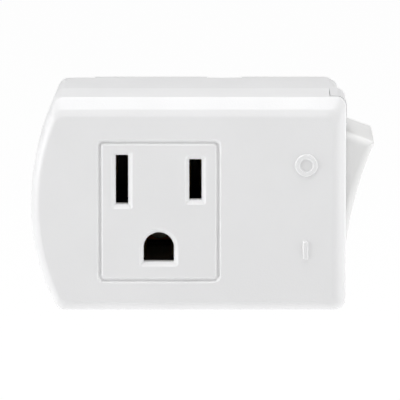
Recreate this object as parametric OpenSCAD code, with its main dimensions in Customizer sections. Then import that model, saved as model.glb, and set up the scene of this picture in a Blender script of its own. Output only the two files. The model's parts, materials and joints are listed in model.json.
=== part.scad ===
// Plug-in outlet adapter: one switched, grounded outlet with a rocker on its right side.
// Seen from the front: +X right, +Y into the wall, +Z up.
// Origin: midway between the two flat blades, on the face that meets the wall.

/* [Case] */
// Right side of the case, from the plug's centre line
case_right = 32.4; // [32:0.1:32.8]
// Furthest point of the bowed left side
case_left = -22.15; // [-23:0.05:-21.5]
// Top of the case
case_top = 14.2; // [14:0.1:14.6]
// Bottom of the case
case_bottom = -23.1; // [-23.4:0.1:-22.8]
// Depth from the front face to the wall face
case_depth = 31.6; // [31.4:0.1:31.9]
// Radius of the bow in the left side
bow_r = 40.3; // [38:0.1:50]
// Radius of the outline's corners
corner_r = 1.8; // [1:0.1:2.2]
// Wall thickness of both covers
wall = 1.8; // [1.6:0.1:1.9]
// Thickness of the front panel
panel_t = 2.2; // [2:0.1:2.4]
// Front face to the seam between the covers
seam_depth = 12.8; // [12.6:0.1:13]
// Inset of the rear cover at the seam
rear_inset = 0.45; // [0.3:0.05:0.6]
// Depth of the screw channels in the wall face
channel_depth = 2.4; // [2:0.1:2.8]
// Thickness of the wall behind the wall face
back_t = 4.8; // [4.6:0.1:4.9]

/* [Front edges] */
// Rounding of the left edge, across the face
edge_left = 1.6; // [1:0.1:2]
// Rounding of the top edge, across the face
edge_top = 3; // [2:0.1:3]
// Rounding of the right edge, across the face
edge_right = 2.4; // [1.6:0.1:2.6]
// Rounding of the bottom edge, across the face
edge_bottom = 1.8; // [1:0.1:2]
// Depth of the rounding, behind the face
edge_depth = 2.2; // [1.5:0.1:2.6]

/* [Outlet] */
// Distance between the two blade centres
blade_pitch = 12.7; // [12.6:0.05:12.8]
// Drop from the blades to the ground pin
ground_drop = 11.89; // [11.8:0.01:12]
// Width of both blade slots
slot_w = 2.13; // [2:0.01:2.4]
// Height of the neutral slot
neutral_slot_h = 8.6; // [8.2:0.1:8.8]
// Height of the line slot
line_slot_h = 7.1; // [6.7:0.1:7.2]
// Radius of the arch over the ground hole
ground_hole_r = 2.63; // [2.5:0.01:2.8]
// Flat bottom of the ground hole, below the blades
ground_hole_floor = 14.4; // [14.3:0.05:14.6]
// Width of the chamfer round each opening
lead_in = 0.75; // [0.4:0.05:0.8]
// Width of the groove round the outlet
groove_w = 1.2; // [0.7:0.05:1.2]
// Depth of the groove
groove_depth = 0.6; // [0.4:0.05:0.9]
// Height of the raised position marks
mark_h = 0.3; // [0.2:0.05:0.4]

/* [Plug] */
// Blade thickness
blade_t = 1.5; // [1.4:0.05:1.55]
// Width of the neutral blade
neutral_blade_w = 7.9; // [7.7:0.05:8]
// Width of the line blade
line_blade_w = 6.35; // [6.2:0.05:6.5]
// How far the blades stand out of the wall face
blade_len = 17.5; // [16:0.1:18.2]
// Diameter of the ground pin
pin_d = 4.8; // [4.6:0.05:4.85]
// How far the ground pin stands out
pin_len = 20.6; // [18:0.1:21]

/* [Rocker] */
// Width of the rocker, along the depth of the case
rocker_w = 18.5; // [18:0.1:18.6]
// Front face of the case to the rocker's near side
rocker_setback = 8; // [7.8:0.1:8.1]
// Tilt of the rocker at each end of its travel
rocker_tilt = 13; // [12:0.5:13]
// Half the length of the rocker's face
rocker_half = 12.3; // [12:0.1:12.4]
// Pivot to the middle of the rocker's face
rocker_face = 7.2; // [6.8:0.1:7.4]
// Radius of the hollow in the rocker's face
rocker_hollow_r = 66; // [60:1:80]
// Radius of the rocker's trunnions
trunnion_r = 1.5; // [1.3:0.1:1.6]
// Pivot of the rocker, right of the plug's centre line
pivot_x = 26.75; // [26.7:0.05:26.9]
// Pivot of the rocker, above the blades
pivot_z = -4.8; // [-4.9:0.05:-4.7]

/* [Switch] */
// Tilt of the contact lever at each end of its travel
lever_tilt = 6.5; // [6:0.1:6.5]
// Rise of each of the lever's wings
wing_rise = 12; // [11:0.5:12]
// Length of each wing
wing_len = 9.2; // [8.6:0.1:9.4]
// Rocker pivot to the centre of the plunger's round tip
tip_reach = 7.5; // [7.3:0.05:7.5]
// Radius of the plunger's round tip
tip_r = 1.1; // [1:0.05:1.1]
// Turns in the plunger spring
spring_turns = 7; // [5:1:9]

/* [Hidden] */
$fn = 48;

eps = 0.01;                             // overlap that makes a cut run clean through
fit = 0.05;                             // radial clearance of a running or locating fit
front_y = -case_depth;                  // front face
panel_y = front_y + panel_t;            // inside of the front panel
seam_y = front_y + seam_depth;          // seam between the covers
back_y = -back_t;                       // inside of the back wall
mid_z = (case_top + case_bottom) / 2;
blade_x = blade_pitch / 2;

// Groove round the outlet, and the raised O and I beside the rocker
groove_x = [-10.7, 10.8];
groove_z = [-18.05, 7.15];
mark_w = 0.83;
off_mark = [25.5, 2.6];
off_mark_r = 1.93;
on_mark = [24.97, -13.9];

// Rocker opening in the side walls, and the switch frame behind it
rocker_y = [front_y + rocker_setback, front_y + rocker_setback + rocker_w];
rocker_gap = 0.4;
opening_y = [rocker_y[0] - rocker_gap, rocker_y[1] + rocker_gap];
opening_z = [pivot_z - 14.2, pivot_z + 14.2];
frame_x = [14, 30.4];
frame_z = [pivot_z - 15.3, pivot_z + 15.3];
frame_wall = 1;
cheek_t = 1.5;
floor_t = 1.2;
floor_x = frame_x[0] + floor_t;         // inside of the switch frame's floor
mech_y = (rocker_y[0] + rocker_y[1]) / 2;

// Case screws and the back's two pads, with screw channels beside them
screw_xz = [[-14.2, 9.5], [-14.2, -18.3], [11.3, 9.7], [11.3, -18.9]];
screw_r = 1.1;
head_r = 2.2;
head_y = [-4.2, -2.7];
boss_r = 2.1;
plug_pad_x = [-11.5, 8.4];
switch_pad_x = 14.5;

lip_reach = 1.6;                        // locating lip, to each side of the seam
lip_t = 0.8;

// Corner catch of the rear cover, in a notch of the front cover
catch_x = 29.7;
catch_z = opening_z[1];
catch_len = 9.6;
catch_proud = 0.3;
catch_slit = 0.25;

// Insulating carrier behind the front panel
carrier_x = 10;
carrier_z = [-16, 7];
carrier_y = [panel_y, -10.6];
carrier_floor = 1.2;
pocket_y = carrier_y[1] - carrier_floor;
pocket_x = 2.7;
ground_pocket_x = 3.4;
pocket_z = [-4.6, 5.2];
ground_pocket_z = [-14.8, -8];

// Female contacts: spring leaves on a web, with a tab to the rear
leaf_t = 0.6;
leaf_z = [-4.2, 4.3];
ground_leaf_z = [-14.4, -8.9];
tab_x = [-2, 0.6];
tab_y = -8.2;
blade_leaf = [[1.7, -12.2], [1.7, -17], [1, -24], [1.9, -28.2]];
ground_leaf = [[2.9, -12.2], [2.9, -16.5], [2.5, -23.5], [3, -28.2]];

// Copper-alloy straps between the blades, the outlet contacts and the switch
strap_t = 0.8;
strap_y = [-10.4, -8.1];
strap_z = 2.5;                          // half the height of a blade's inner tongue
tail_y = [-11, -8.5];                   // switch terminal tails
tail_x = 10.8;
tongue_end = -10;
pin_tip = 1.8;                          // rounding of the ground pin's tip
pin_neck_r = pin_d / 2 - 0.4;           // neck where the pin passes through the back wall
pin_neck_y = 0.2;
rivet_r = 0.5;
rivet_y = -9.2;                         // rivets of the blades and the outlet contacts
tail_rivet = [12.2, -9.6];              // rivets of the switch tails
ground_rivet_y = -9.75;
contact_rivet_x = 0.9;                  // from a blade's plane to its contact's rivet
rivet_head_r = 0.95;
rivet_head_h = 0.3;
shoulder_y = [-6, back_y - fit];
retainer_y = [-8, -6.1];
stake_xz = [[-8.6, -9.6], [8.6, -9.6]];
stake_r = 1.1;
stem_r = 1.55;                          // ground pin's stem, riveted over the ground strap
stem_y = -8.95;

// Contact lever, in its own frame at the fulcrum: a shallow V over a round edge
fulcrum_x = pivot_x - 9.75;
edge_r = 0.4;
lever_t = 0.8;
lever_w = 6;
vertex = 0.94;                          // top of the V over the fulcrum
lever_y = [mech_y - lever_w / 2, mech_y + lever_w / 2];
contact_at = 7.6;                       // moving contact, from the V along its wing
contact_r = 1.4;
contact_h = 0.75;
contact_dome_r = 4;

// Rocker, plunger and spring, in the rocker's frame
rocker_tip = 8.36;                      // pivot to the ends of the rocker's hollow face
skirt = 1.2;                            // how much longer the rocker is behind its face
plunger_r = 1.6;
plunger_x = [-5.6, -2.6];
bore_end = 4.4;
boss_x = -5.2;
spring_r = 1.25;
wire_r = 0.2;

// ---- helpers ----

module block(x, y, z) translate([x[0], y[0], z[0]]) cube([x[1] - x[0], y[1] - y[0], z[1] - z[0]]);

// A flat shape drawn as (x, z), from y0 to y1
module along_y(y0, y1) translate([0, y1, 0]) rotate([90, 0, 0]) linear_extrude(y1 - y0) children();

module along_z(z0, z1) translate([0, 0, z0]) linear_extrude(z1 - z0) children();

module rod_x(x0, x1, y, z, r) translate([x0, y, z]) rotate([0, 90, 0]) cylinder(r = r, h = x1 - x0);

module rod_y(x, y0, y1, z, r) translate([x, y1, z]) rotate([90, 0, 0]) cylinder(r = r, h = y1 - y0);

module rod_z(x, y, z0, z1, r) translate([x, y, z0]) cylinder(r = r, h = z1 - z0);

module rounded_rect(x, z, r) {
    translate([x[0] + r, z[0]]) square([x[1] - x[0] - 2 * r, z[1] - z[0]]);
    translate([x[0], z[0] + r]) square([x[1] - x[0], z[1] - z[0] - 2 * r]);
    for (cx = [x[0] + r, x[1] - r], cz = [z[0] + r, z[1] - r]) translate([cx, cz]) circle(r);
}

// Points round an arc, from angle a0 to a1 in n steps
function arc(cx, cz, r, a0, a1, n) =
    [for (i = [0:n]) [cx + r * cos(a0 + (a1 - a0) * i / n), cz + r * sin(a0 + (a1 - a0) * i / n)]];

// Outline of the case: three straight sides and a bowed left one, each set in by its inset
module case_outline(left, top, right, bottom) {
    c = corner_r;
    x = case_right - right - c;
    z = [case_bottom + bottom + c, case_top - top - c];
    bow_x = case_left + bow_r;
    bow = bow_r - left;
    rise = [for (side = z) asin((side - mid_z) / (bow - c))];
    left_x = [for (a = rise) bow_x - (bow - c) * cos(a)];
    polygon(concat(
        arc(x, z[1], c, 0, 90, 8),
        arc(left_x[1], z[1], c, 90, 180 - rise[1], 6),
        arc(bow_x, mid_z, bow, 180 - rise[1] + 1, 180 - rise[0] - 1, 24),
        arc(left_x[0], z[0], c, 180 - rise[0], 270, 6),
        arc(x, z[0], c, 270, 360, 8)));
}

module slice(y, left, top, right, bottom) along_y(y, y + eps) case_outline(left, top, right, bottom);

module inner_outline(extra) case_outline(wall + extra, wall + extra, wall + extra, wall + extra);

// Outline of the ground hole, grown by g
module ground_outline(g) {
    translate([0, -ground_drop]) circle(ground_hole_r + g);
    translate([-ground_hole_r - g, -ground_hole_floor - g])
        square([2 * (ground_hole_r + g), ground_hole_floor - ground_drop + g]);
}

module slot_outline(x, h, g) translate([x - slot_w / 2 - g, -h / 2 - g]) square([slot_w + 2 * g, h + 2 * g]);

module lead_in_cut() {
    for (s = [[-blade_x, neutral_slot_h], [blade_x, line_slot_h]]) hull() {
        along_y(front_y - eps, front_y) slot_outline(s[0], s[1], lead_in);
        along_y(front_y + lead_in, front_y + lead_in + eps) slot_outline(s[0], s[1], 0);
    }
    hull() {
        along_y(front_y - eps, front_y) ground_outline(lead_in);
        along_y(front_y + lead_in, front_y + lead_in + eps) ground_outline(0);
    }
}

// Places its children in the rocker's own frame, with the rocker in its rest position
module in_rocker() translate([pivot_x, 0, pivot_z]) rotate([0, rocker_tilt, 0]) children();

// Places its children in the lever's own frame, with the lever in its rest position
module in_lever() translate([fulcrum_x, 0, pivot_z]) rotate([0, -lever_tilt, 0]) children();

// Places its children on the lever's upper wing: X out of the wing, Z along it
module on_wing() in_lever() translate([vertex, 0, 0]) rotate([0, wing_rise, 0]) children();

// One spring leaf: a strip of sheet along its centre line, mirrored by side
module leaf(line, side, z) along_z(z[0], z[1]) polygon(concat(
    [for (p = line) [side * (p[0] - leaf_t / 2), p[1]]],
    [for (i = [len(line) - 1:-1:0]) [side * (line[i][0] + leaf_t / 2), line[i][1]]]));

// Shanks of the rivets that join the straps, at radius r
module rivet_shanks(r) {
    for (x = [-blade_x, blade_x]) {
        rod_z(x - contact_rivet_x, rivet_y, 4.3, 5.7, r);
        rod_x(x - blade_t / 2, x + blade_t / 2 + strap_t, rivet_y, 0, r);
    }
    for (z = [[4.1, 5.7], [-6, -4.4]]) rod_z(tail_rivet[0], tail_rivet[1], z[0], z[1], r);
    rod_z(0, ground_rivet_y, -8.9, -7.5, r);
}

// ---- case ----

module front_cover() color("white") {
    difference() {
        hull() {
            along_y(front_y + edge_depth, seam_y) case_outline(0, 0, 0, 0);
            for (a = [18:18:90]) slice(front_y + edge_depth * (1 - sin(a)),
                edge_left * (1 - cos(a)), edge_top * (1 - cos(a)),
                edge_right * (1 - cos(a)), edge_bottom * (1 - cos(a)));
        }
        along_y(panel_y, seam_y + 1) inner_outline(0);
        block([frame_x[1] - 1, case_right + 1], opening_y, opening_z);
        lead_in_cut();
        along_y(front_y - 1, panel_y + 1) slot_outline(-blade_x, neutral_slot_h, 0);
        along_y(front_y - 1, panel_y + 1) slot_outline(blade_x, line_slot_h, 0);
        along_y(front_y - 1, panel_y + 1) ground_outline(0);
        along_y(front_y - 1, front_y + groove_depth) difference() {
            rounded_rect(groove_x, groove_z, 1);
            rounded_rect(groove_x + [groove_w, -groove_w], groove_z + [groove_w, -groove_w], 0.5);
        }
        block([catch_x - catch_slit, case_right + 1], [seam_y - catch_len - catch_slit, seam_y + 1],
              [catch_z - catch_slit, case_top + 1]);
    }
    difference() {
        union() {
            for (p = screw_xz) rod_y(p[0], panel_y - eps, seam_y - 0.1, p[1], boss_r);
            for (x = [-carrier_x - 1.1, carrier_x + 0.1])
                block([x, x + 1], [panel_y - eps, panel_y + 6], carrier_z);
            for (z = [-18, 8]) block([16, 29], [panel_y - eps, opening_y[0] - cheek_t - 0.05], [z, z + 1.2]);
        }
        for (p = screw_xz) rod_y(p[0], seam_y - 10, seam_y, p[1], screw_r + fit);
    }
    along_y(front_y - mark_h, front_y + eps) {
        difference() {
            translate(off_mark) circle(off_mark_r);
            translate(off_mark) circle(off_mark_r - mark_w);
        }
        translate(on_mark) square([mark_w + 0.04, 3.2]);
    }
}

module rear_cover() color("white") {
    difference() {
        hull() {
            slice(seam_y + fit, rear_inset, rear_inset, rear_inset, rear_inset);
            slice(-4, 0.5, 0.5, 0.9, 0.5);
            slice(-1, 0.65, 0.6, 1.4, 0.6);
            slice(-0.3, 0.95, 0.9, 1.8, 0.9);
            slice(-eps, 1.4, 1.3, 2.3, 1.3);
        }
        along_y(seam_y - 1, back_y) inner_outline(0);
        block([frame_x[1] - 1, case_right + 1], opening_y, opening_z);
        block([case_left - 1, plug_pad_x[0]], [-channel_depth, 1], [case_bottom - 1, case_top + 1]);
        block([plug_pad_x[1], switch_pad_x], [-channel_depth, 1], [case_bottom - 1, case_top + 1]);
        block([frame_x[0] - fit, frame_x[1] + fit], [back_y - eps, opening_y[1] + cheek_t + fit],
              [frame_z[0] - fit, frame_z[1] + fit]);
        for (p = screw_xz) rod_y(p[0], head_y[0], 1, p[1], head_r + 0.15);
        for (p = screw_xz) rod_y(p[0], seam_y, 1, p[1], screw_r + fit);
        block([-blade_x - blade_t / 2 - fit, -blade_x + blade_t / 2 + fit], [back_y - 1, 1],
              [-neutral_blade_w / 2 - fit, neutral_blade_w / 2 + fit]);
        block([blade_x - blade_t / 2 - fit, blade_x + blade_t / 2 + fit], [back_y - 1, 1],
              [-line_blade_w / 2 - fit, line_blade_w / 2 + fit]);
        rod_y(0, back_y - 1, 1, -ground_drop, pin_d / 2 + fit);
    }
    difference() {
        for (p = screw_xz) rod_y(p[0], seam_y + fit, back_y + eps, p[1], boss_r);
        for (p = screw_xz) rod_y(p[0], seam_y - 1, back_y + 1, p[1], screw_r + fit);
    }
    for (p = stake_xz) rod_y(p[0], retainer_y[0] - 0.3, back_y + eps, p[1], stake_r);
    locating_lip();
    corner_catch();
}

// Lip of the rear cover that centres the front cover; the right side is left open for the switch
module locating_lip() intersection() {
    union() {
        along_y(seam_y + fit, seam_y + lip_reach) difference() {
            inner_outline(-0.1);
            inner_outline(lip_t);
        }
        difference() {
            along_y(seam_y - lip_reach, seam_y + fit + eps) difference() {
                inner_outline(0.1);
                inner_outline(lip_t);
            }
            for (p = screw_xz) rod_y(p[0], seam_y - lip_reach - 1, seam_y, p[1], boss_r + 0.1);
        }
    }
    block([case_left, 28], [seam_y - lip_reach - 1, seam_y + lip_reach + 1], [case_bottom, case_top]);
}

module corner_catch() intersection() {
    along_y(seam_y - catch_len, seam_y + fit + eps) difference() {
        case_outline(0, 0, -catch_proud, 0);
        inner_outline(0.2);
    }
    block([catch_x, case_right + 1], [seam_y - catch_len, seam_y + 1], [catch_z, case_top]);
}

// ---- outlet ----

module contact_carrier() color("black") difference() {
    block([-carrier_x, carrier_x], carrier_y, carrier_z);
    for (x = [-blade_x, blade_x]) {
        block([x - pocket_x, x + pocket_x], [panel_y - 1, pocket_y], pocket_z);
        block([x + tab_x[0] - 0.1, x + tab_x[1] + 0.1], [pocket_y - 1, -10],
              [leaf_z[1] - 0.1, leaf_z[1] + leaf_t + 0.1]);
    }
    block([-ground_pocket_x, ground_pocket_x], [panel_y - 1, pocket_y], ground_pocket_z);
    block([-2.7, 2.7], [pocket_y - 1, -10], [-14.6, -8.2]);
}

module blade_contact(x) color("goldenrod") difference() {
    translate([x, 0, 0]) {
        for (side = [-1, 1]) leaf(blade_leaf, side, leaf_z);
        block([-2, 2], [-17, -12.2], [leaf_z[1] - eps, leaf_z[1] + leaf_t]);
        block(tab_x, [-12.3, tab_y], [leaf_z[1], leaf_z[1] + leaf_t]);
    }
    rivet_shanks(rivet_r);
}

module neutral_contact() blade_contact(-blade_x);

module line_contact() blade_contact(blade_x);

module ground_contact() color("goldenrod") difference() {
    union() {
        for (side = [-1, 1]) leaf(ground_leaf, side, ground_leaf_z);
        block([-3.2, 3.2], [-16.5, -12.2], [ground_leaf_z[1] - eps, ground_leaf_z[1] + leaf_t]);
        block([-1.5, 1.5], [-12.3, -9.05], [ground_leaf_z[1], ground_leaf_z[1] + leaf_t]);
    }
    rivet_shanks(rivet_r);
}

// ---- plug ----

// A flat blade with a chamfered tip, a shoulder inside the back wall and a tongue for its strap
module blade(x, w) color("silver") difference() {
    translate([x, 0, 0]) intersection() {
        // side view: tongue, shoulder, blade with cut corners
        translate([-blade_t / 2, 0, 0]) rotate([90, 0, 90]) linear_extrude(blade_t) {
            translate([tongue_end, -strap_z]) square([shoulder_y[0] - tongue_end + eps, 2 * strap_z]);
            translate([shoulder_y[0], -w / 2 - 1.2]) square([shoulder_y[1] - shoulder_y[0], w + 2.4]);
            polygon([[shoulder_y[1] - eps, -w / 2], [blade_len - 1.2, -w / 2], [blade_len, -w / 2 + 1.2],
                [blade_len, w / 2 - 1.2], [blade_len - 1.2, w / 2], [shoulder_y[1] - eps, w / 2]]);
        }
        // top view: thinned tip
        along_z(-w, w) polygon([[-1, tongue_end], [1, tongue_end], [1, blade_len - 2],
            [0.35, blade_len], [-0.35, blade_len], [-1, blade_len - 2]]);
    }
    rivet_shanks(rivet_r);
}

module neutral_blade() blade(-blade_x, neutral_blade_w);

module line_blade() blade(blade_x, line_blade_w);

// A turned pin: riveted stem, shoulder inside the back wall, neck in the wall and a round tip
module ground_pin() color("silver") translate([0, 0, -ground_drop]) rotate([-90, 0, 0])
    rotate_extrude() polygon(concat(
        [[0, stem_y - 0.35], [2.2, stem_y - 0.35], [2.2, stem_y], [stem_r, stem_y]],
        [[stem_r, shoulder_y[0]], [3.6, shoulder_y[0]], [3.6, shoulder_y[1]]],
        [[pin_neck_r, shoulder_y[1]], [pin_neck_r, pin_neck_y], [pin_d / 2, pin_neck_y]],
        [for (a = [0:15:75]) [pin_d / 2 - pin_tip * (1 - cos(a)), pin_len - pin_tip * (1 - sin(a))]],
        [[pin_d / 2 - pin_tip, pin_len], [0, pin_len]]));

module blade_retainer() color("black") difference() {
    block([-10.2, 10.2], retainer_y, [-15.6, 6.2]);
    for (x = [-blade_x, blade_x])
        block([x - blade_t / 2 - fit, x + blade_t / 2 + fit], [-9, -5], [-strap_z - fit, strap_z + fit]);
    rod_y(0, -9, -5, -ground_drop, stem_r + fit);
    for (p = stake_xz) rod_y(p[0], -9, -5, p[1], stake_r + fit);
    for (x = [-blade_x, blade_x]) block([x - 2.1, x + 0.7], [-9, -5], [4.2, 6.3]);
}

// ---- conductors ----

module neutral_strap() color("peru") difference() {
    union() {
        block([-blade_x + blade_t / 2, -blade_x + blade_t / 2 + strap_t], strap_y, [-strap_z, 5.7]);
        block([-blade_x - 2, -blade_x + blade_t / 2 + eps], strap_y, [4.9, 5.7]);
    }
    rivet_shanks(rivet_r);
}

module line_strap() color("peru") difference() {
    union() {
        block([blade_x + blade_t / 2, blade_x + blade_t / 2 + strap_t], strap_y, [-6, strap_z]);
        block([blade_x + blade_t / 2, 13.4], [strap_y[0], tail_y[1]], [-6, -5.2]);
    }
    rivet_shanks(rivet_r);
}

module load_strap() color("peru") difference() {
    block([blade_x - 2, 13.4], strap_y, [4.9, 5.7]);
    rivet_shanks(rivet_r);
}

module ground_strap() color("peru") difference() {
    union() {
        block([-1.5, 1.5], [strap_y[0], -8.15], [-8.3, -7.5]);
        block([-3, 3], [stem_y, stem_y + strap_t], [-14.4, -7.5]);
    }
    rod_y(0, -10, -8, -ground_drop, stem_r);
    rivet_shanks(rivet_r);
}

module strap_rivets() color("silver") {
    h = rivet_head_h;
    rivet_shanks(rivet_r);
    for (x = [-blade_x, blade_x]) {
        for (z = [4.3 - h, 5.7]) rod_z(x - contact_rivet_x, rivet_y, z, z + h, rivet_head_r);
        for (side = [x - blade_t / 2 - h, x + blade_t / 2 + strap_t])
            rod_x(side, side + h, rivet_y, 0, rivet_head_r);
    }
    for (z = [4.1 - h, 5.7, -6 - h, -4.4]) rod_z(tail_rivet[0], tail_rivet[1], z, z + h, rivet_head_r);
    for (z = [-8.9 - h, -7.5]) rod_z(0, ground_rivet_y, z, z + h, 0.6);
}

// ---- switch ----

module switch_frame() color("dimgray") difference() {
    union() {
        block([frame_x[0], floor_x], [opening_y[0] - cheek_t, opening_y[1] + cheek_t], frame_z);
        for (y = [opening_y[0] - cheek_t, opening_y[1]]) block(frame_x, [y, y + cheek_t], frame_z);
        for (z = [frame_z[0], frame_z[1] - frame_wall])
            block(frame_x, [opening_y[0] - cheek_t, opening_y[1] + cheek_t], [z, z + frame_wall]);
        block([floor_x - eps, fulcrum_x + 0.75], [mech_y - 2, mech_y + 2], [pivot_z - 8.9, pivot_z - 7.7]);
    }
    for (y = [opening_y[0] - cheek_t - 1, opening_y[1] - 1])
        rod_y(pivot_x, y, y + cheek_t + 2, pivot_z, trunnion_r + fit);
    for (z = [[4, 5], [-5.3, -4.3]])
        block([frame_x[0] - 1, floor_x + eps], [tail_y[0] - 0.1, tail_y[1] + 0.1], z);
}

module rocker() color("ghostwhite") in_rocker() {
    difference() {
        union() {
            along_y(rocker_y[0], rocker_y[1]) difference() {
                polygon([[-1, rocker_half + skirt], [rocker_tip, rocker_half],
                    [rocker_tip, -rocker_half], [-1, -rocker_half - skirt]]);
                translate([rocker_face + rocker_hollow_r, 0]) circle(rocker_hollow_r, $fn = 360);
            }
            rod_x(boss_x, 0, mech_y, 0, 3);
        }
        for (z = [-rocker_half + 0.9, 4])
            block([-2, 5.2], [rocker_y[0] + 1.4, rocker_y[1] - 1.4], [z, z + rocker_half - 4.9]);
        rod_x(boss_x - 1, bore_end, mech_y, 0, plunger_r + fit);
    }
    for (y = [rocker_y[0] - rocker_gap - cheek_t + 0.2, rocker_y[1] - eps])
        rod_y(0, y, y + rocker_gap + cheek_t - 0.2 + eps, 0, trunnion_r);
}

module plunger() color("ivory") in_rocker() {
    rod_x(plunger_x[0], plunger_x[1], mech_y, 0, plunger_r);
    rod_x(-tip_reach, plunger_x[0] + eps, mech_y, 0, tip_r);
    translate([-tip_reach, mech_y, 0]) sphere(tip_r);
    rod_x(plunger_x[1] - eps, plunger_x[1] + 1.4, mech_y, 0, 0.8);
}

// Compression spring: a round wire swept along a helix
module plunger_spring() color("silver") in_rocker() translate([plunger_x[1] + wire_r, mech_y, 0]) {
    length = bore_end - plunger_x[1] - 2 * wire_r;
    steps = spring_turns * 14;
    sides = 8;
    points = [for (i = [0:steps], k = [0:sides - 1])
        let (a = 360 * spring_turns * i / steps, b = 360 * k / sides, r = spring_r + wire_r * cos(b))
        [length * i / steps + wire_r * sin(b), r * cos(a), r * sin(a)]];
    side_faces = [for (i = [0:steps - 1], k = [0:sides - 1])
        let (n = (k + 1) % sides)
        [i * sides + k, i * sides + n, (i + 1) * sides + n, (i + 1) * sides + k]];
    start_cap = [[for (k = [sides - 1:-1:0]) k]];
    end_cap = [[for (k = [0:sides - 1]) steps * sides + k]];
    polyhedron(points, concat(start_cap, side_faces, end_cap));
}

module contact_lever() color("goldenrod") in_lever() difference() {
    end = [vertex + wing_len * sin(wing_rise), wing_len * cos(wing_rise)];
    back = end + lever_t * [-cos(wing_rise), sin(wing_rise)];
    along_y(lever_y[0], lever_y[1]) polygon([[vertex, 0], end, back,
        [vertex - lever_t / cos(wing_rise), 0], [back[0], -back[1]], [end[0], -end[1]]]);
    rod_y(0, lever_y[0] - 1, lever_y[1] + 1, 0, edge_r + 0.1);
    translate([vertex, 0, 0]) rotate([0, wing_rise, 0]) rod_x(-2, 1, mech_y, contact_at, 0.8);
}

module moving_contact() color("silver") on_wing() {
    intersection() {
        rod_x(-lever_t - contact_h, -lever_t, mech_y, contact_at, contact_r);
        translate([-lever_t - contact_h + contact_dome_r, mech_y, contact_at])
            sphere(contact_dome_r, $fn = 96);
    }
    rod_x(-lever_t - eps, 0, mech_y, contact_at, 0.8);
    rod_x(0, 0.3, mech_y, contact_at, 1.1);
}

module fulcrum_terminal() color("goldenrod") difference() {
    union() {
        block([tail_x, floor_x + eps], tail_y, [pivot_z - 0.4, pivot_z + 0.4]);
        block([floor_x, floor_x + 1], [mech_y - 3, tail_y[1]], [pivot_z - 0.4, pivot_z + 0.4]);
        block([floor_x, fulcrum_x], [mech_y - 2.8, mech_y + 2.8], [pivot_z - edge_r, pivot_z + edge_r]);
        rod_y(fulcrum_x, mech_y - 2.8, mech_y + 2.8, pivot_z, edge_r);
    }
    rivet_shanks(rivet_r);
}

module load_terminal() color("goldenrod") difference() {
    union() {
        block([tail_x, floor_x + eps], tail_y, [4.1, 4.9]);
        block([floor_x, floor_x + strap_t], [mech_y - 3, tail_y[1]], [0.9, 5.6]);
    }
    rod_x(floor_x - 1, floor_x + 1, mech_y, 3, 0.8);
    rivet_shanks(rivet_r);
}

module fixed_contact() color("silver") {
    rod_x(floor_x, floor_x + strap_t, mech_y, 3, 0.8);
    rod_x(floor_x + strap_t, fulcrum_x, mech_y, 3, 1.6);
}

module case_screws() color("silver") for (p = screw_xz) difference() {
    union() {
        rod_y(p[0], head_y[0], head_y[1], p[1], head_r);
        rod_y(p[0], seam_y - 9, head_y[0] + eps, p[1], screw_r);
    }
    for (a = [0, 90]) translate([p[0], head_y[1], p[1]]) rotate([0, a, 0])
        block([-1.3, 1.3], [-0.9, 1], [-0.3, 0.3]);
}

front_cover();
rear_cover();
contact_carrier();
blade_retainer();
neutral_contact();
line_contact();
ground_contact();
neutral_blade();
line_blade();
ground_pin();
neutral_strap();
line_strap();
load_strap();
ground_strap();
strap_rivets();
switch_frame();
rocker();
plunger();
plunger_spring();
contact_lever();
moving_contact();
fulcrum_terminal();
load_terminal();
fixed_contact();
case_screws();
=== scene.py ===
import json
import math

import bmesh
import bpy
from mathutils import Matrix, Vector


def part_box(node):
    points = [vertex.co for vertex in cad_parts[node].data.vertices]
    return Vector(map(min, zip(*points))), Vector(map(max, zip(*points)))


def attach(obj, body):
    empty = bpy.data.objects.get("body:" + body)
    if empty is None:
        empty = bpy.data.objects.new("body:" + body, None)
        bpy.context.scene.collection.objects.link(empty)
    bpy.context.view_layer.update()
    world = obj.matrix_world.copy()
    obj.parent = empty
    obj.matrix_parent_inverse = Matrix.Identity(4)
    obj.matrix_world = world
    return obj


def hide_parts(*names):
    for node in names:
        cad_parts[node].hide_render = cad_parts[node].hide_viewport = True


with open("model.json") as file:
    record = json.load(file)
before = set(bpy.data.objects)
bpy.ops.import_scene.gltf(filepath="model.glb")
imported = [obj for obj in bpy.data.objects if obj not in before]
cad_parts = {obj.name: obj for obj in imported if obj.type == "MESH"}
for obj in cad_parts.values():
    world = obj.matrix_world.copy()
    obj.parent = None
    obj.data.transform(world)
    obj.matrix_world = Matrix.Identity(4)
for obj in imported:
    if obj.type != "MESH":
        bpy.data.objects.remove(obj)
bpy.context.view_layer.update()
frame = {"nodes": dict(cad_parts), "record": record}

# Lengths are in millimetres, and metres only where an object is made. X runs to the right, Y to the back
# and Z up. The outlet faces -Y, the case's back is at Y = 0, and the plug's blades stand out behind it.
MM = 0.001


def edges_of(node):
    """Lowest and highest corner of a CAD node, in millimetres."""
    low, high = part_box(node)
    return low / MM, high / MM


# ---- sizes of the case ----

cover_low, cover_high = edges_of("front_cover")
MARK_H = 0.3                         # how far the raised O and I stand off the face
LEFT, RIGHT, BOTTOM, TOP = cover_low.x, cover_high.x, cover_low.z, cover_high.z
FRONT = cover_low.y + MARK_H
SEAM = cover_high.y                  # where the two covers meet
MID_Z = (TOP + BOTTOM) / 2
CORNER_R = 1.8
BOW_R = 40.3                         # radius of the bowed left side
WALL = 1.8
PANEL = FRONT + 2.2                  # inside of the front panel
BACK_INSIDE = -4.8                   # inside of the back wall

EDGE = (1.6, 2.4, 1.8)               # rounding across the face: left, right, bottom
EDGE_DEPTH = 2.2
EDGE_POWER = 1.6                     # 2 is an ellipse, less is closer to a bevel
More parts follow.
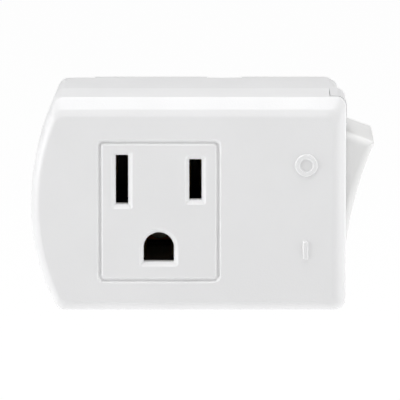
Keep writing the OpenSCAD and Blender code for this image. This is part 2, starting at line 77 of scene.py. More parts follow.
# (depth, inset) of the top edge: a steep slope, a shallow one and a soft run into the face
TOP_PROFILE = ((2.2, 0), (2.05, 0.08), (0.52, 2.05), (0.06, 3.0), (0, 3.3))
SEAM_ROUND = 0.25                    # rounding of the front cover's edge at the seam

REAR_GAP = 0.05                      # between the covers at the seam
REAR_INSET = 0.45                    # the rear cover's outline stands in by this at the seam
REAR_ROUND = 0.2
# Insets of the rear cover's outline (left, top, right, bottom) ahead of its back edge, where the edge's
# rounding starts, and what the rounding adds
REAR_SIDE = (0.5, 0.5, 0.9, 0.5)
REAR_SIDE_Y = -4
BACK_START = (0.65, 0.6, 1.4, 0.6)
BACK_RUN = (0.75, 0.7, 0.9, 0.7)
BACK_DEPTH = 1
CHANNEL = 2.4                        # depth of the channels in the back
PAD_X = (-11.5, 8.4, 14.5)           # plug pad from, to, and the start of the switch pad
LIP = 1.6                            # the rear cover's lip inside the front cover
LIP_T = 0.8
LIP_END_X = 28                       # the lip stops here, short of the rocker

CATCH_X = 29.7                       # the catch is the rear cover's, in a notch of the front cover
CATCH_LEN = 9.6
CATCH_PROUD = 0.14
SLIT = 0.13                          # gap left of the catch
CATCH_GAP = 0.02                     # gap ahead of it

SCREWS = ((-14.2, 9.5), (-14.2, -18.3), (11.3, 9.7), (11.3, -18.9))
SCREW_R = 1.1
SCREW_HEAD = (2.35, -4.2)            # counterbore: radius and floor
BOSS_R = 2.1

CARRIER_WALLS = ((-11.1, -10.1), (10.1, 11.1))  # walls beside the contact carrier, from and to
CARRIER_WALL_Z = (-16, 7)
CARRIER_WALL_LEN = 6
SHELF_X = (16, 29)                   # shelves below and above the switch
SHELF_Z = (-18, 8)
SHELF_T = 1.2
STAKES = ((-8.6, -9.6), (8.6, -9.6))  # pins of the rear cover that hold the blade retainer
STAKE_R = 1.1
STAKE_TOP = -8.3

# ---- sizes of the outlet and the plug ----

BLADE_X = 6.35                       # from the middle to either slot
SLOT_W = 2.13
SLOT_H = {-1: 8.6, 1: 7.1}           # neutral on the left, line on the right
GROUND_Z = -11.89
GROUND_R = 2.63
GROUND_FLOOR = -14.4                 # Z of the ground hole's flat sill
LEAD_IN = 0.75                       # chamfer round the slots and the ground hole
GROOVE_BOX = (-10.7, -18.05, 10.8, 7.15)
GROOVE_R = 1.0
GROOVE_W = 1.06
# (inset, depth) across one side of the groove round the outlet; the other side mirrors it
GROOVE_SIDE = ((0, 0), (0.03, 0.01), (0.08, 0.05), (0.36, 0.38), (0.4, 0.42), (0.46, 0.44))

O_MARK = (25.5, 2.6)                 # centre
O_R = (1.93, 1.1)                    # outer and inner radius
I_MARK = (24.97, -13.9, 25.84, -10.7)
I_R = 0.22
# (growth, height) up the side of a mark
MARK_SIDE = ((0.04, 0), (0, 0.04), (-0.03, 0.12), (-0.08, 0.22), (-0.13, 0.28), (-0.2, MARK_H))

BLADE_W = {"neutral_blade": 7.9, "line_blade": 6.35}
PIN_HOLE_R = 2.45
CLEARANCE = 0.05                     # round the blades and the screws

# ---- sizes of the rocker ----

# The pivot and the Y values are in the case's frame. The others are in the rocker's own frame, which has
# the pivot at 0 and the hollow face to +X, and is turned by the tilt.
rocker_low, rocker_high = edges_of("rocker")
PIVOT = Vector((26.75, 0, -4.8))
ROCKER_TILT = math.radians(13)
ROCKER_Y = (FRONT + 8, FRONT + 26.5)
ROCKER_MID = (ROCKER_Y[0] + ROCKER_Y[1]) / 2
ROCKER_HALF = 12.3                   # from the pivot to either tip of the face
ROCKER_FACE = 7.2                    # from the pivot to the middle of the hollow face
HOLLOW_R = 66
ROCKER_TIP = 8.36                    # X of the tips
ROCKER_HEEL = -1                     # X of the back
ROCKER_SKIRT = 1.2                   # the back is this much longer than the face, at each end
ROCKER_NEAR_EDGE = 1.4
ROCKER_FAR_EDGE = 0.4
ROCKER_CORNER = 0.5
TRUNNION_R = 1.5
SPRING_BOSS_R = 3
SPRING_BOSS_X = (-5.2, 0)
SPRING_BORE_R = 1.65
SPRING_BORE_X = (-6.2, 4.4)
POCKET_X = (-2, 5.2)                 # two hollows in the rocker's back
POCKET_WALLS = (2, 1.4)              # left at the near and the far side
POCKET_END = 0.9                     # left at the tips
POCKET_START = 4                     # from the pivot

OPENING_GAP = 0.4                    # beside the rocker
OPENING_HALF = 14.2
OPENING_Y = (ROCKER_Y[0] - OPENING_GAP, ROCKER_Y[1] + OPENING_GAP)
OPENING_Z = (PIVOT.z - OPENING_HALF, PIVOT.z + OPENING_HALF)
OPENING_R = 0.4
SIDE_X = (29, 36)                    # from inside the right wall to outside the case
SWITCH_REACH = 1.55                  # the switch frame goes past the opening by this
SWITCH_POCKET_X = (13.95, 30.45)     # its pocket in the back wall
SWITCH_POCKET_HALF = 15.35

# Cutting solids run past what they cut, and joined solids bite into each other.
BEYOND = 1
PAST_SEAM = (SEAM - 9, SEAM + 9)
BITE = 0.5


# ---- flat loops, as (x, z) points running anticlockwise ----

def arc(cx, cz, r, start, end, steps):
    """Points round an arc, angles in degrees."""
    turns = [math.radians(start + (end - start) * i / steps) for i in range(steps + 1)]
    return [(cx + r * math.cos(t), cz + r * math.sin(t)) for t in turns]


def circle(cx, cz, r, steps):
    """A closed circle, without its first point again at the end."""
    return arc(cx, cz, r, 0, 360, steps)[:-1]


def case_loop(left, top, right, bottom):
    """The case's outline: three straight sides and a bowed left one, each set in by its inset."""
    c = CORNER_R
    x = RIGHT - right - c
    low, high = BOTTOM + bottom + c, TOP - top - c
    bow_x, bow = LEFT + BOW_R, BOW_R - left
    rise_low = math.degrees(math.asin((low - MID_Z) / (bow - c)))
    rise_high = math.degrees(math.asin((high - MID_Z) / (bow - c)))
    x_low = bow_x - (bow - c) * math.cos(math.radians(rise_low))
    x_high = bow_x - (bow - c) * math.cos(math.radians(rise_high))
    return (arc(x, high, c, 0, 90, 10) + arc(x_high, high, c, 90, 180 - rise_high, 8)
            + arc(bow_x, MID_Z, bow, 180.6 - rise_high, 179.4 - rise_low, 40)
            + arc(x_low, low, c, 180 - rise_low, 270, 8) + arc(x, low, c, 270, 360, 10))


def even(inset):
    """The case's outline with every side set in by the same inset."""
    return case_loop(inset, inset, inset, inset)


def rect_loop(x0, z0, x1, z1, r, steps=5):
    """A rectangle with corners of radius r."""
    return (arc(x1 - r, z1 - r, r, 0, 90, steps) + arc(x0 + r, z1 - r, r, 90, 180, steps)
            + arc(x0 + r, z0 + r, r, 180, 270, steps) + arc(x1 - r, z0 + r, r, 270, 360, steps))


def slot_loop(side, grow):
    """A blade slot's outline, grown by grow."""
    half_w, half_h = SLOT_W / 2 + grow, SLOT_H[side] / 2 + grow
    x = side * BLADE_X
    return rect_loop(x - half_w, -half_h, x + half_w, half_h, 0.15 + 0.35 * grow, 3)


def ground_loop(grow):
    """The ground hole's outline, an arch over a flat sill, grown by grow."""
    r, low, c = GROUND_R + grow, GROUND_FLOOR - grow, 0.2 + 0.4 * grow
    return (arc(0, GROUND_Z, r, 0, 180, 28) + arc(c - r, low + c, c, 180, 270, 3)
            + arc(r - c, low + c, c, 270, 360, 3))


def groove_loop(inset):
    """The line of the groove round the outlet."""
    x0, z0, x1, z1 = GROOVE_BOX
    return rect_loop(x0 + inset, z0 + inset, x1 - inset, z1 - inset, GROOVE_R - 0.5 * inset, 6)


def quarter(steps):
    """(inset, height) of a quarter round, from its side to its face."""
    turns = [math.radians(90 * i / steps) for i in range(steps + 1)]
    return [(1 - math.cos(t), 1 - math.sin(t)) for t in turns]


# ---- meshes ----

class Shell:
    """A mesh built from rings: loops at a depth y, joined by strips and closed by flat fills."""

    def __init__(self):
        self.bm = bmesh.new()

    def ring(self, loop, y):
        return [self.bm.verts.new((x * MM, y * MM, z * MM)) for x, z in loop]

    def strip(self, a, b):
        for i in range(len(a)):
            k = (i + 1) % len(a)
            self.bm.faces.new((a[i], a[k], b[k], b[i]))

    def stack(self, layers):
        """Joins (loop, y) layers into one tube, and returns its first and last ring."""
        rings = [self.ring(loop, y) for loop, y in layers]
        for a, b in zip(rings, rings[1:]):
            self.strip(a, b)
        return rings[0], rings[-1]

    def fill(self, *rings):
        """Closes the flat region between an outer ring and the holes in it."""
        edges = []
        for ring in rings:
            for i in range(len(ring)):
                pair = (ring[i], ring[(i + 1) % len(ring)])
                edges.append(self.bm.edges.get(pair) or self.bm.edges.new(pair))
        bmesh.ops.triangle_fill(self.bm, use_beauty=True, edges=edges)

    def done(self, name):
        bmesh.ops.recalc_face_normals(self.bm, faces=self.bm.faces)
        return add_object(name, self.bm)


def add_object(name, bm):
    """Makes an object of a bmesh, which is freed."""
    mesh = bpy.data.meshes.new(name)
    bm.to_mesh(mesh)
    bm.free()
    obj = bpy.data.objects.new(name, mesh)
    bpy.context.scene.collection.objects.link(obj)
    return obj


def prism(loop, y0, y1):
    """A solid of an (x, z) loop from y0 to y1."""
    shell = Shell()
    first, last = shell.stack([(loop, y0), (loop, y1)])
    shell.fill(first)
    shell.fill(last)
    return shell.done("solid")


def across(loop, x0, x1):
    """A solid of a (y, z) loop from x0 to x1."""
    obj = prism(loop, x0, x1)
    obj.data.transform(Matrix(((0, 1, 0, 0), (1, 0, 0, 0), (0, 0, 1, 0), (0, 0, 0, 1))))
    obj.data.flip_normals()
    return obj


def brick(x, y, z):
    """A box between two values along each axis."""
    return prism(rect_loop(x[0], z[0], x[1], z[1], 0.01, 1), y[0], y[1])


def rod(x, z, r, y0, y1, steps=48):
    """A round bar along Y."""
    return prism(circle(x, z, r, steps), y0, y1)


def combine(obj, others, operation):
    """Applies a Boolean of obj with each of the others, and deletes them."""
    for other in others:
        mod = obj.modifiers.new("cut", "BOOLEAN")
        mod.operation = operation
        mod.object = other
        mod.solver = "MANIFOLD"
        graph = bpy.context.evaluated_depsgraph_get()
        mesh = bpy.data.meshes.new_from_object(obj.evaluated_get(graph))
        obj.modifiers.clear()
        obj.data = mesh
        bpy.data.objects.remove(other)
    return obj


def soften(obj, width, keep):
    """Rounds the sharp edges of obj that keep(edge centre in mm) picks."""
    bm = bmesh.new()
    bm.from_mesh(obj.data)
    bmesh.ops.remove_doubles(bm, verts=bm.verts, dist=0.0005 * MM)
    bmesh.ops.dissolve_limit(bm, angle_limit=math.radians(0.1), verts=bm.verts, edges=bm.edges)
    sharp = [e for e in bm.edges if len(e.link_faces) == 2
             and e.calc_face_angle(0) > math.radians(50)
             and keep((e.verts[0].co + e.verts[1].co) / 2 / MM)]
    bmesh.ops.bevel(bm, geom=sharp, offset=width * MM, segments=2, profile=0.5,
                    affect="EDGES", clamp_overlap=True)
    bm.to_mesh(obj.data)
    bm.free()


# ---- front cover ----

def top_inset(depth):
    """How far the top edge is set in at a depth, between the points of its profile."""
    for (d0, i0), (d1, i1) in zip(TOP_PROFILE, TOP_PROFILE[1:]):
        if depth >= d1:
            return i0 + (i1 - i0) * (d0 - depth) / (d0 - d1)
    return TOP_PROFILE[-1][1]


def face_edge(t):
    """The front cover's outline and depth at angle t of its rounding, from its side to its face."""
    depth = EDGE_DEPTH * (1 - math.sin(t))
    left, right, bottom = [e * (1 - math.cos(t) ** (2 / EDGE_POWER)) for e in EDGE]
    return case_loop(left, top_inset(depth), right, bottom), FRONT + depth


def outlet_mouths(shell):
    """The chamfered slots and ground hole, as their rings on the face and behind the panel."""
    # (growth, depth) down each of them
    lead = [(LEAD_IN + 0.08, 0), (LEAD_IN, 0.03), (LEAD_IN - 0.07, 0.1), (0.07, LEAD_IN - 0.07),
            (0.02, LEAD_IN), (0, LEAD_IN + 0.08), (0, PANEL - FRONT)]
    mouths, throats = [], []
    for outline in (lambda g: slot_loop(-1, g), lambda g: slot_loop(1, g), ground_loop):
        mouth, throat = shell.stack([(outline(g), FRONT + d) for g, d in lead])
        mouths.append(mouth)
        throats.append(throat)
    return mouths, throats


def marks(shell):
    """The raised O and I, as their outer rings on the face."""
    out = [(circle(*O_MARK, O_R[0] + g, 56), FRONT - h) for g, h in MARK_SIDE]
    back = [(circle(*O_MARK, O_R[1] - g, 56), FRONT - h) for g, h in reversed(MARK_SIDE)]
    o_out, o_in = shell.stack(out + back)
    shell.fill(o_in)
    x0, z0, x1, z1 = I_MARK
    bar = [(rect_loop(x0 - g, z0 - g, x1 + g, z1 + g, I_R + g, 4), FRONT - h) for g, h in MARK_SIDE]
    i_out, i_top = shell.stack(bar)
    shell.fill(i_top)
    return o_out, i_out


def front_cover():
    shell = Shell()
    layers = [(even(SEAM_ROUND * u), SEAM - SEAM_ROUND * v) for u, v in quarter(3)][::-1]
    layers += [face_edge(math.radians(5 * i)) for i in range(19)]
    seam_ring, face_ring = shell.stack(layers)
    groove = [*GROOVE_SIDE, *((GROOVE_W - s, d) for s, d in reversed(GROOVE_SIDE))]
    groove_out, groove_in = shell.stack([(groove_loop(s), FRONT + d) for s, d in groove])
    mouths, throats = outlet_mouths(shell)
    shell.fill(groove_in, *mouths)
    shell.fill(face_ring, groove_out, *marks(shell))
    inner_seam, inner_panel = shell.stack([(even(WALL), SEAM), (even(WALL), PANEL)])
    shell.fill(seam_ring, inner_seam)
    shell.fill(inner_panel, *throats)
    cover = shell.done("front_cover_shell")
    combine(cover, front_inside(), "UNION")
    combine(cover, front_cuts(), "DIFFERENCE")
    soften(cover, width=0.18, keep=lambda p: p.x > SIDE_X[0] and p.y > PANEL + 2)
    return cover


def front_inside():
    """Screw bosses, the two walls beside the contact carrier, and the shelves round the switch."""
    root = PANEL - BITE
    bosses = [rod(x, z, BOSS_R, root, SEAM - 0.1) for x, z in SCREWS]
    walls = [brick(x, (root, PANEL + CARRIER_WALL_LEN), CARRIER_WALL_Z) for x in CARRIER_WALLS]
    shelves = [brick(SHELF_X, (root, OPENING_Y[0] - SWITCH_REACH), (z, z + SHELF_T)) for z in SHELF_Z]
    return bosses + walls + shelves


def front_cuts():
    """The rocker's opening, the catch's notch and the screws' holes."""
    opening = across(rect_loop(OPENING_Y[0], OPENING_Z[0], SEAM + 2, OPENING_Z[1], OPENING_R), *SIDE_X)
    notch = brick((CATCH_X - SLIT, SIDE_X[1]), (SEAM - CATCH_LEN - CATCH_GAP, SEAM + BEYOND),
                  (OPENING_Z[1] - 0.15, TOP + 2))
    holes = [rod(x, z, SCREW_R + CLEARANCE, SEAM - 10, SEAM + BEYOND) for x, z in SCREWS]
    return [opening, notch] + holes


# ---- rear cover ----

def back_layer(t):
    """The rear cover's outline and depth at angle t of its back edge's rounding."""
    out = 1 - math.cos(t)
    insets = [start + run * out for start, run in zip(BACK_START, BACK_RUN)]
    return case_loop(*insets), BACK_DEPTH * (math.sin(t) - 1)


def rear_cover():
    shell = Shell()
    seam = SEAM + REAR_GAP
    layers = [(even(REAR_INSET + REAR_ROUND * u), seam + REAR_ROUND * v) for u, v in quarter(3)][::-1]
    layers += [(case_loop(*REAR_SIDE), REAR_SIDE_Y)]
    layers += [back_layer(math.radians(15 * i)) for i in range(7)]
    seam_ring, back_ring = shell.stack(layers)
    shell.fill(back_ring)
    inner_seam, inner_back = shell.stack([(even(WALL), seam), (even(WALL), BACK_INSIDE)])
    shell.fill(seam_ring, inner_seam)
    shell.fill(inner_back)
    cover = shell.done("rear_cover_shell")
    ledge = lip_band(WALL + 0.1, SEAM - LIP, SEAM + 0.5)
    combine(ledge, [rod(x, z, BOSS_R + 0.1, PAST_SEAM[0], SEAM) for x, z in SCREWS], "DIFFERENCE")
    root = lip_band(WALL - 0.1, SEAM + 0.3, SEAM + LIP)
    inside = BACK_INSIDE + BITE
    bosses = [rod(x, z, BOSS_R, seam, inside) for x, z in SCREWS]
    stakes = [rod(x, z, STAKE_R, STAKE_TOP, inside) for x, z in STAKES]
    combine(cover, [ledge, root, catch()] + bosses + stakes, "UNION")
    combine(cover, rear_cuts(), "DIFFERENCE")
    soften(cover, width=0.25, keep=on_rear_outside)
    return cover


def hollowed(outer, inner, y0, y1):
    """A tube from y0 to y1 between two outlines of the case."""
    tube = prism(outer, y0, y1)
    return combine(tube, [prism(inner, *PAST_SEAM)], "DIFFERENCE")


def lip_band(inset, y0, y1):
    """The lip inside the walls, or its root, without the stretch at the rocker."""
    band = hollowed(even(inset), even(WALL + LIP_T), y0, y1)
    switch = brick((LIP_END_X, SIDE_X[1]), PAST_SEAM, (BOTTOM - BEYOND, TOP + BEYOND))
    return combine(band, [switch], "DIFFERENCE")


def catch():
    """The catch at the upper right corner, which reaches forward over the rocker."""
    band = hollowed(case_loop(0, 0, -CATCH_PROUD, 0), even(WALL + 0.2), SEAM - CATCH_LEN, SEAM + 0.5)
    corner = brick((CATCH_X, SIDE_X[1]), PAST_SEAM, (OPENING_Z[1], TOP + BEYOND))
    return combine(band, [corner], "INTERSECT")


def rear_cuts():
    """The rocker's opening, the channels, the switch's pocket, and the holes of the screws and the plug."""
    through_back = (BACK_INSIDE - BEYOND, BEYOND)
    cuts = [across(rect_loop(SEAM - 2, OPENING_Z[0], OPENING_Y[1], OPENING_Z[1], OPENING_R), *SIDE_X)]
    cuts += [brick(x, (-CHANNEL, BEYOND), (BOTTOM - BEYOND, TOP + BEYOND))
             for x in ((LEFT - BEYOND, PAD_X[0]), PAD_X[1:])]
    cuts += [brick(SWITCH_POCKET_X, (BACK_INSIDE - BEYOND, OPENING_Y[1] + SWITCH_REACH),
                   (PIVOT.z - SWITCH_POCKET_HALF, PIVOT.z + SWITCH_POCKET_HALF))]
    cuts += [rod(x, z, *SCREW_HEAD, BEYOND) for x, z in SCREWS]
    cuts += [rod(x, z, SCREW_R + CLEARANCE, SEAM - BEYOND, BEYOND) for x, z in SCREWS]
    for node, width in BLADE_W.items():
        low, high = edges_of(node)
        half = width / 2 + CLEARANCE
        cuts.append(brick((low.x - CLEARANCE, high.x + CLEARANCE), through_back, (-half, half)))
    cuts.append(rod(0, GROUND_Z, PIN_HOLE_R, *through_back, 72))
    return cuts


def on_rear_outside(p):
    """Whether an edge of the rear cover is at the back or on the catch."""
    if p.y > -CHANNEL - 0.1:
        return True
    return p.x > CATCH_X - 0.2 and p.z > OPENING_Z[1] - 0.2 and p.y < SEAM - 0.1


# ---- rocker ----

def rocker_loop(inset):
    """The rocker's side view, with its outer edges set in by inset.

    The tip's corner is an arc that touches both the end's slope and the hollow face.
    """
    tip = Vector((ROCKER_TIP, ROCKER_HALF))
    heel = Vector((ROCKER_HEEL, ROCKER_HALF + ROCKER_SKIRT))
    along = (tip - heel).normalized()
    out = Vector((-along.y, along.x))
    hollow = Vector((ROCKER_FACE + HOLLOW_R, 0))
    radius = max(0.03, ROCKER_CORNER - inset)
    start = heel - (inset + radius) * out - hollow
    reach = HOLLOW_R + inset + radius
    half_b = start.dot(along)
    run = -half_b - math.sqrt(half_b ** 2 - start.length_squared + reach ** 2)
    centre = start + hollow + along * run
    toward = math.degrees(math.atan2(hollow.y - centre.y, hollow.x - centre.x))
    up = math.degrees(math.atan2(out.y, out.x))
    corner = arc(centre.x, centre.y, radius, toward, up, 8)
    swing = 180 - math.degrees(math.atan2(corner[0][1], hollow.x - corner[0][0]))
    face = arc(hollow.x, 0, HOLLOW_R + inset, 360 - swing, swing, 40)[1:-1]
    top = heel - inset * out
    upper = corner + [(top.x, top.y)]
    return face + upper + [(x, -z) for x, z in reversed(upper)]


def rocker():
    near_y, far_y = ROCKER_Y
    shell = Shell()
    near = [(rocker_loop(ROCKER_NEAR_EDGE * u), near_y + ROCKER_NEAR_EDGE * v) for u, v in quarter(12)]
    far = [(rocker_loop(ROCKER_FAR_EDGE * u), far_y - ROCKER_FAR_EDGE * v) for u, v in quarter(5)]
    first, last = shell.stack(near[::-1] + far)
    shell.fill(first)
    shell.fill(last)
    paddle = shell.done("rocker_paddle")
    trunnions = [rod(0, 0, TRUNNION_R, *y, 40)
                 for y in ((rocker_low.y, near_y + BITE), (far_y - BITE, rocker_high.y))]
    boss = across(circle(ROCKER_MID, 0, SPRING_BOSS_R, 40), *SPRING_BOSS_X)
    combine(paddle, trunnions + [boss], "UNION")
    pocket_y = (near_y + POCKET_WALLS[0], far_y - POCKET_WALLS[1])
    pocket_len = ROCKER_HALF - POCKET_END - POCKET_START
    pockets = [brick(POCKET_X, pocket_y, (z, z + pocket_len))
               for z in (POCKET_END - ROCKER_HALF, POCKET_START)]
    bore = across(circle(ROCKER_MID, 0, SPRING_BORE_R, 36), *SPRING_BORE_X)
    combine(paddle, pockets + [bore], "DIFFERENCE")
    soften(paddle, width=0.15, keep=lambda p: p.x < 5)
    paddle.data.transform(Matrix.Translation(PIVOT * MM) @ Matrix.Rotation(ROCKER_TILT, 4, "Y"))
    return paddle


# ---- looks ----

# Scales of the noises, in cycles per metre
FLOW_SCALE = 90
PATCH_SCALE = 420
GRAIN_SCALE = 3200
DRAWING_SCALE = 14000
DRAWING_STRETCH = 0.06               # the lines' scale along the metal's grain, where it is 1 across
DRAWING_DEPTH = 0.0000008            # in metres
TARNISH = 0.05


def new_material(name):
    mat = bpy.data.materials.new(name)
    mat.use_nodes = True
    tree = mat.node_tree
    bsdf = tree.nodes["Principled BSDF"]
    coords = tree.nodes.new("ShaderNodeTexCoord")
    return mat, tree, bsdf, coords.outputs["Object"]


def noise(tree, vector, scale, detail=2.0, rough=0.5):
    node = tree.nodes.new("ShaderNodeTexNoise")
    tree.links.new(vector, node.inputs["Vector"])
    node.inputs["Scale"].default_value = scale
    node.inputs["Detail"].default_value = detail
    node.inputs["Roughness"].default_value = rough
    return node.outputs["Fac"]


def remap(tree, value, low, high):
    """Spreads a noise, which keeps near its middle, from low to high."""
    node = tree.nodes.new("ShaderNodeMapRange")
    tree.links.new(value, node.inputs["Value"])
    node.inputs["From Min"].default_value = 0.3
    node.inputs["From Max"].default_value = 0.7
    node.inputs["To Min"].default_value = low
    node.inputs["To Max"].default_value = high
    return node.outputs["Result"]


def blend_colors(tree, value, dark, light):
    node = tree.nodes.new("ShaderNodeMix")
    node.data_type = "RGBA"
    tree.links.new(value, node.inputs["Factor"])
    node.inputs["A"].default_value = (*dark, 1)
    node.inputs["B"].default_value = (*light, 1)
    return node.outputs["Result"]


def bump(tree, bsdf, height, depth):
    """Bump of a height from 0 to 1, depth metres deep."""
    node = tree.nodes.new("ShaderNodeBump")
    tree.links.new(height, node.inputs["Height"])
    node.inputs["Distance"].default_value = depth
    node.inputs["Strength"].default_value = 1
    tree.links.new(node.outputs["Normal"], bsdf.inputs["Normal"])


def moulded_plastic(name, color, rough, grain=0.00002, spread=0.012):
    """Moulded plastic: faint flow mottling, and the fine grain of a spark-eroded mould."""
    mat, tree, bsdf, where = new_material(name)
    mottle = noise(tree, where, FLOW_SCALE, 3)
    light = [min(1, c * (1 + spread)) for c in color]
    dark = [c * (1 - spread) for c in color]
    tree.links.new(blend_colors(tree, remap(tree, mottle, 0, 1), dark, light), bsdf.inputs["Base Color"])
    patch = noise(tree, where, PATCH_SCALE, 2)
    tree.links.new(remap(tree, patch, rough - 0.03, rough + 0.04), bsdf.inputs["Roughness"])
    bump(tree, bsdf, noise(tree, where, GRAIN_SCALE, 3, 0.6), grain)
    bsdf.inputs["IOR"].default_value = 1.5
    return mat


def sheet_metal(name, color, rough, grain_axis=1):
    """Stamped or turned metal: fine drawing lines along one axis and faint tarnish."""
    mat, tree, bsdf, where = new_material(name)
    stretch = tree.nodes.new("ShaderNodeMapping")
    stretch.inputs["Scale"].default_value = [DRAWING_STRETCH if k == grain_axis else 1 for k in range(3)]
    tree.links.new(where, stretch.inputs["Vector"])
    lines = noise(tree, stretch.outputs["Vector"], DRAWING_SCALE, 3, 0.6)
    tarnish = noise(tree, where, PATCH_SCALE, 3)
    light = [min(1, c * (1 + TARNISH)) for c in color]
    dark = [c * (1 - 2 * TARNISH) for c in color]
    tree.links.new(blend_colors(tree, remap(tree, tarnish, 0, 1), dark, light), bsdf.inputs["Base Color"])
    tree.links.new(remap(tree, lines, rough - 0.04, rough + 0.06), bsdf.inputs["Roughness"])
    bump(tree, bsdf, lines, DRAWING_DEPTH)
    bsdf.inputs["Metallic"].default_value = 1
    return mat


# Colour and roughness of each. The names are the record's material slots, apart from a darker copy of the
# case's own plastic for the rear cover, which is painted shade that makes its top read darker than the
# front's.
MATERIALS = {
    "case_plastic": moulded_plastic("case_plastic", (0.84, 0.84, 0.845), 0.42),
    # painted shade: the case's own plastic made darker for the rear cover
    "case_plastic_painted_shade": moulded_plastic("case_plastic_painted_shade", (0.79, 0.79, 0.795), 0.42),
    "rocker_plastic": moulded_plastic("rocker_plastic", (0.82, 0.82, 0.815), 0.36, 0.00001),
    # painted shade: the carriers behind the slots are made near black so the slots' insides read dark like
    # deep holes
    "inner_nylon": moulded_plastic("inner_nylon", (0.02, 0.02, 0.021), 0.55, 0.00003, 0.1),
    "switch_nylon": moulded_plastic("switch_nylon", (0.03, 0.03, 0.032), 0.45, 0.00003, 0.1),
    "contact_brass": sheet_metal("contact_brass", (0.78, 0.57, 0.25), 0.3),
    "plated_brass": sheet_metal("plated_brass", (0.75, 0.72, 0.66), 0.32),
    "strap_copper": sheet_metal("strap_copper", (0.80, 0.42, 0.26), 0.32),
    "rivet_steel": sheet_metal("rivet_steel", (0.62, 0.61, 0.58), 0.34),
    "spring_steel": sheet_metal("spring_steel", (0.48, 0.48, 0.49), 0.3, 0),
    "contact_silver": sheet_metal("contact_silver", (0.86, 0.85, 0.82), 0.22, 0),
    "screw_steel": sheet_metal("screw_steel", (0.60, 0.60, 0.58), 0.3),
}


# ---- pieces ----

# Width of the broken edges of the CAD's own nodes, by material slot
BEVELS = {"inner_nylon": 0.15, "switch_nylon": 0.2, "plated_brass": 0.18, "screw_steel": 0.12}
SMALL_BEVEL = 0.06


def finish_piece(obj, name, node, body, slot, look=None):
    """Names and shades a piece that stands for a CAD node, gives it its material, hides that node and puts
    the piece under its body.
    """
    obj.name = name
    obj.data.name = name
    obj.data.shade_smooth()
    obj.data.set_sharp_from_angle(angle=math.radians(35))
    mod = obj.modifiers.new("weighted_normals", "WEIGHTED_NORMAL")
    mod.keep_sharp = True
    obj.data.materials.clear()
    obj.data.materials.append(MATERIALS[look or slot])
    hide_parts(node)
    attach(obj, body)


def refine(obj, material, width):
    """Keeps a CAD node's shape, and breaks its edges by width with modifiers."""
    weld = obj.modifiers.new("weld", "WELD")
    weld.merge_threshold = 0.001 * MM
    flat = obj.modifiers.new("flat", "DECIMATE")
    flat.decimate_type = "DISSOLVE"
    flat.angle_limit = math.radians(0.5)
    edge = obj.modifiers.new("edge", "BEVEL")
    edge.width = width * MM
    edge.segments = 2
    edge.limit_method = "ANGLE"
    edge.angle_limit = math.radians(40)
    normals = obj.modifiers.new("normals", "WEIGHTED_NORMAL")
    normals.keep_sharp = True
    obj.data.materials.clear()
    obj.data.materials.append(material)


# ---- camera, light and floor ----

AIM = Vector((7.14, FRONT, -3.47)) * MM
PITCH = math.radians(9.5)            # the camera looks down by this
DISTANCE = 1.0                       # in metres, like the lengths of the lights and the floor
LENS = 520.8                         # focal length in millimetres, for a sensor of this width
SENSOR = 36

# Softboxes: direction from the object, distance, size and power in watts
LIGHTS = {
    "top_high": ((0, -0.17, 1), 0.6, 0.4, 3.15),
    "top_back": ((0, 0.6, 0.8), 0.4, 0.25, 0.45),
    "left": ((-1, -0.3, 0.15), 0.6, 0.3, 1.9),
    "right": ((1, -0.3, 0.1), 0.6, 0.4, 1.5),
    "back_right": ((0.7, 0.7, 0.1), 0.6, 0.4, 0.6),
}

FLOOR_DROP = 0.22                    # from the case's underside down to the floor
FLOOR_R = 6
FLOOR_GLOW = 0.98                    # emission strength of the floor, away from its centre
FLOOR_SHADOW_SHARE = 0.65                     # share of the glow that is left at the centre, as a painted shadow under the object
FLOOR_SHADOW_R = 0.4                    # radius of that painted shadow, from which the glow is full


def camera():
    data = bpy.data.cameras.new("camera")
    data.lens = LENS
    data.sensor_width = SENSOR
    data.clip_end = 50
    cam = bpy.data.objects.new("camera", data)
    cam.location = AIM - DISTANCE * Vector((0, math.cos(PITCH), -math.sin(PITCH)))
    cam.rotation_euler = (math.radians(90) - PITCH, 0, 0)
    bpy.context.scene.collection.objects.link(cam)
    bpy.context.scene.camera = cam


def softbox(name, toward, distance, size, power):
    """A square area light out in a direction from the object, and facing it."""
    data = bpy.data.lights.new(name, "AREA")
    data.size = size
    data.energy = power
    light = bpy.data.objects.new(name, data)
    way = Vector(toward).normalized()
    light.location = AIM + way * distance
    light.rotation_euler = way.to_track_quat("Z", "Y").to_euler()
    light.visible_camera = False
    bpy.context.scene.collection.objects.link(light)


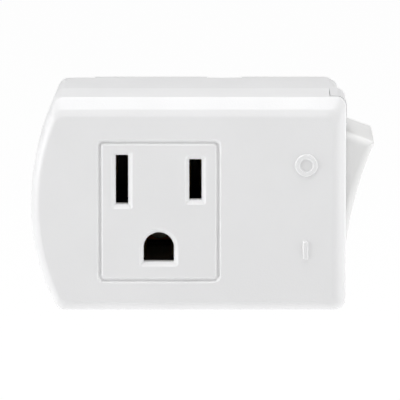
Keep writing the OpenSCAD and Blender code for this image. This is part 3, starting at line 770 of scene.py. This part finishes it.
def studio():
    """A black world, in which the softboxes and the floor give all the light."""
    world = bpy.data.worlds.new("studio")
    world.use_nodes = True
    bpy.context.scene.world = world
    world.node_tree.nodes["Background"].inputs["Strength"].default_value = 0
    for name, settings in LIGHTS.items():
        softbox(name, *settings)


def floor_glow_and_shadow(tree, where):
    """The floor's glow, dimmer at its centre as a painted shadow under the object and rising outward."""
    away = tree.nodes.new("ShaderNodeVectorMath")
    away.operation = "LENGTH"
    tree.links.new(where, away.inputs[0])
    glow = tree.nodes.new("ShaderNodeMapRange")
    glow.interpolation_type = "SMOOTHSTEP"
    glow.inputs["From Min"].default_value = 0
    glow.inputs["From Max"].default_value = FLOOR_SHADOW_R
    glow.inputs["To Min"].default_value = FLOOR_SHADOW_SHARE * FLOOR_GLOW
    glow.inputs["To Max"].default_value = FLOOR_GLOW
    tree.links.new(away.outputs["Value"], glow.inputs["Value"])
    return glow.outputs["Result"]


def floor():
    bm = bmesh.new()
    bmesh.ops.create_circle(bm, cap_ends=True, radius=FLOOR_R, segments=64)
    obj = add_object("floor", bm)
    obj.location.z = BOTTOM * MM - FLOOR_DROP
    mat, tree, bsdf, where = new_material("floor")
    patches = blend_colors(tree, noise(tree, where, 2), (0.28, 0.28, 0.28), (0.3, 0.3, 0.3))
    tree.links.new(patches, bsdf.inputs["Base Color"])
    bsdf.inputs["Roughness"].default_value = 0.9
    bsdf.inputs["Emission Color"].default_value = (1, 1, 1, 1)
    tree.links.new(floor_glow_and_shadow(tree, where), bsdf.inputs["Emission Strength"])
    obj.data.materials.append(mat)


# ---- scene ----

bpy.context.scene.view_settings.view_transform = "Standard"
camera()
studio()
floor()

finish_piece(front_cover(), "front_cover_shell", "front_cover", "housing", "case_plastic")
# the rear cover takes the darker copy of the case plastic, as painted shade
finish_piece(rear_cover(), "rear_cover_shell", "rear_cover", "housing", "case_plastic", "case_plastic_painted_shade")
finish_piece(rocker(), "rocker_paddle", "rocker", "rocker", "rocker_plastic")

slots = {part["node"]: part["material_slot"] for part in frame["record"]["subparts"]}
for node, obj in frame["nodes"].items():
    refine(obj, MATERIALS[slots[node]], BEVELS.get(slots[node], SMALL_BEVEL))
